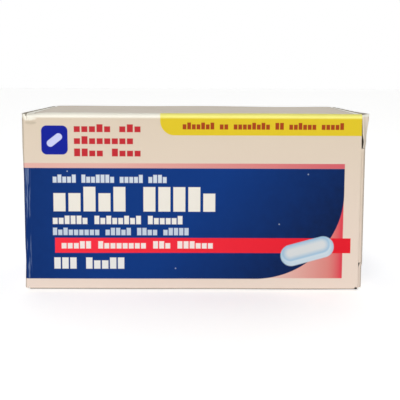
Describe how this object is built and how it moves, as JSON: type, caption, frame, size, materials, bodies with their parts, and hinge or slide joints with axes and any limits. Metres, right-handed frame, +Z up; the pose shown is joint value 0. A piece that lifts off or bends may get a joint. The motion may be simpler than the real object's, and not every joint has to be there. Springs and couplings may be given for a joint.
{
  "type": "folding carton with a bottle of caplets",
  "caption": "Printed folding carton with a hinged tuck flap at each end, holding a round plastic bottle with a push-and-turn cap.",
  "frame": {"origin": "middle of the carton's base", "axes": "+X along the carton to its right end, +Y from the printed front to the back, +Z up"},
  "size_m": [0.1, 0.05, 0.0525],
  "materials": {
    "carton_board": "coated white board, printed in colour outside, plain inside",
    "bottle_plastic": "opaque white blow-moulded polyethylene",
    "label_paper": "coated printed paper",
    "seal_foil": "bright foil",
    "pulp_board": "uncoated pulp disc",
    "cap_plastic": "white moulded polypropylene"
  },
  "bodies": {
    "carton": {"carton_sleeve": "carton_board", "bottle": "bottle_plastic", "bottle_label": "label_paper", "foil_seal": "seal_foil", "cap_liner": "pulp_board", "inner_cap": "cap_plastic"},
    "left_flap": {"left_end_flap": "carton_board"},
    "right_flap": {"right_end_flap": "carton_board"},
    "cap_shell": {"outer_cap": "cap_plastic"}
  },
  "joints": [
    {"name": "left_flap_hinge", "type": "hinge", "parent": "carton", "child": "left_flap", "pos_m": [-0.04895, -0.025, 0.02625], "axis": [0, 0, 1], "range_deg": [0, 170]},
    {"name": "right_flap_hinge", "type": "hinge", "parent": "carton", "child": "right_flap", "pos_m": [0.04895, 0.025, 0.02625], "axis": [0, 0, 1], "range_deg": [0, 170]},
    {"name": "cap_turn", "type": "hinge", "parent": "carton", "child": "cap_shell", "pos_m": [0.04, -0.00075, 0.02375], "axis": [1, 0, 0], "continuous": true}
  ]
}
